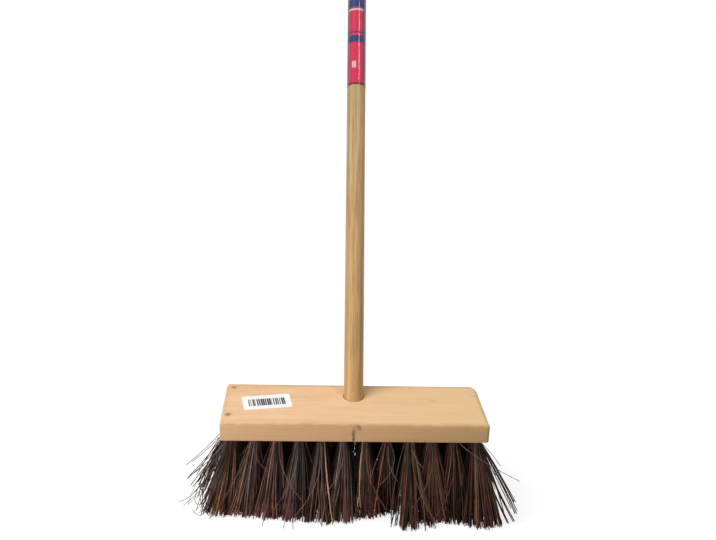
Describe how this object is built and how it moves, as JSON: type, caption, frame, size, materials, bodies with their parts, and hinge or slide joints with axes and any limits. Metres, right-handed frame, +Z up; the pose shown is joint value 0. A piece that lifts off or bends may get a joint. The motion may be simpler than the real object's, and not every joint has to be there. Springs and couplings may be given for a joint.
{
  "type": "floor broom",
  "caption": "Wide floor broom: a flat wooden stock set with tufts of stiff dark palm fibre and a round wooden handle slanting up and back from a socket.",
  "frame": {"origin": "on the floor, below the middle of the stock, in the plane of the fibre tips", "axes": "+X along the stock, +Y back, the way the handle leans, +Z up"},
  "size_m": [0.391, 0.7893, 1.2973],
  "materials": {
    "stock_wood": "planed and sanded, bare",
    "handle_wood": "turned, thinly varnished",
    "fibre": "raw palm fibre",
    "label_film": "glossy printed film",
    "label_paper": "coated paper",
    "steel": "drawn wire"
  },
  "bodies": {
    "root": {"stock": "stock_wood", "handle": "handle_wood", "handle_nail": "steel", "handle_label": "label_film", "stock_sticker": "label_paper", "tufts_front": "fibre", "tufts_mid_front": "fibre", "tufts_mid_back": "fibre", "tufts_back": "fibre", "staple_front_01": "steel", "staple_front_02": "steel", "staple_front_03": "steel", "staple_front_04": "steel", "staple_front_05": "steel", "staple_front_06": "steel", "staple_front_07": "steel", "staple_front_08": "steel", "staple_front_09": "steel", "staple_front_10": "steel", "staple_front_11": "steel", "staple_front_12": "steel", "staple_mid_front_01": "steel", "staple_mid_front_02": "steel", "staple_mid_front_03": "steel", "staple_mid_front_04": "steel", "staple_mid_front_05": "steel", "staple_mid_front_06": "steel", "staple_mid_front_07": "steel", "staple_mid_front_08": "steel", "staple_mid_front_09": "steel", "staple_mid_front_10": "steel", "staple_mid_back_01": "steel", "staple_mid_back_02": "steel", "staple_mid_back_03": "steel", "staple_mid_back_04": "steel", "staple_mid_back_05": "steel", "staple_mid_back_06": "steel", "staple_mid_back_07": "steel", "staple_mid_back_08": "steel", "staple_mid_back_09": "steel", "staple_mid_back_10": "steel", "staple_back_01": "steel", "staple_back_02": "steel", "staple_back_03": "steel", "staple_back_04": "steel", "staple_back_05": "steel", "staple_back_06": "steel", "staple_back_07": "steel", "staple_back_08": "steel", "staple_back_09": "steel", "staple_back_10": "steel", "staple_back_11": "steel"}
  },
  "joints": []
}
